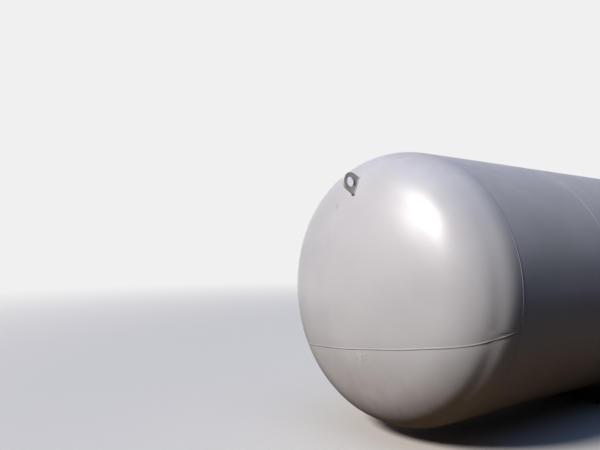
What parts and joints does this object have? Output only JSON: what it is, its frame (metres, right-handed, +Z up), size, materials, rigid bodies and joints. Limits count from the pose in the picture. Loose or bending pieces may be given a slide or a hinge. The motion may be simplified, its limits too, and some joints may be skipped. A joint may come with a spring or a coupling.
{
  "type": "horizontal pressure tank",
  "caption": "Welded horizontal cylindrical pressure tank with domed ends, lifting lugs, a closed manway and nozzles, on two low steel saddles.",
  "frame": {"origin": "on the floor under the middle of the tank", "axes": "+X along the tank's axis away from the pictured head, +Z up, so the pictured long side faces -Y"},
  "size_m": [11.5432, 2.4024, 2.82],
  "materials": {
    "tank_enamel": "satin light grey enamel on rolled plate",
    "weld_enamel": "light grey enamel over weld beads",
    "lug_enamel": "thin grey paint on cut plate",
    "saddle_enamel": "grey enamel on welded plate",
    "fitting_enamel": "light grey enamel on turned flanges"
  },
  "bodies": {
    "root": {"front_head_upper": "tank_enamel", "front_head_lower": "tank_enamel", "front_head_seam": "weld_enamel", "rear_head_upper": "tank_enamel", "rear_head_lower": "tank_enamel", "rear_head_seam": "weld_enamel", "shell_ring_1": "tank_enamel", "shell_ring_2": "tank_enamel", "shell_ring_3": "tank_enamel", "shell_ring_4": "tank_enamel", "shell_ring_5": "tank_enamel", "girth_weld_1": "weld_enamel", "girth_weld_2": "weld_enamel", "girth_weld_3": "weld_enamel", "girth_weld_4": "weld_enamel", "girth_weld_5": "weld_enamel", "girth_weld_6": "weld_enamel", "long_weld_1": "weld_enamel", "long_weld_2": "weld_enamel", "long_weld_3": "weld_enamel", "long_weld_4": "weld_enamel", "long_weld_5": "weld_enamel", "front_lug": "lug_enamel", "front_lug_weld": "weld_enamel", "rear_lug": "lug_enamel", "rear_lug_weld": "weld_enamel", "front_wear_plate": "saddle_enamel", "front_web": "saddle_enamel", "front_ribs": "saddle_enamel", "front_base_plate": "saddle_enamel", "rear_wear_plate": "saddle_enamel", "rear_web": "saddle_enamel", "rear_ribs": "saddle_enamel", "rear_base_plate": "saddle_enamel", "manway_pad": "fitting_enamel", "manway_neck": "fitting_enamel", "manway_flange": "fitting_enamel", "manway_cover": "fitting_enamel", "nozzle_1": "fitting_enamel", "nozzle_2": "fitting_enamel", "nozzle_3": "fitting_enamel", "nozzle_cover_1": "fitting_enamel", "nozzle_cover_2": "fitting_enamel", "nozzle_cover_3": "fitting_enamel"}
  },
  "joints": []
}
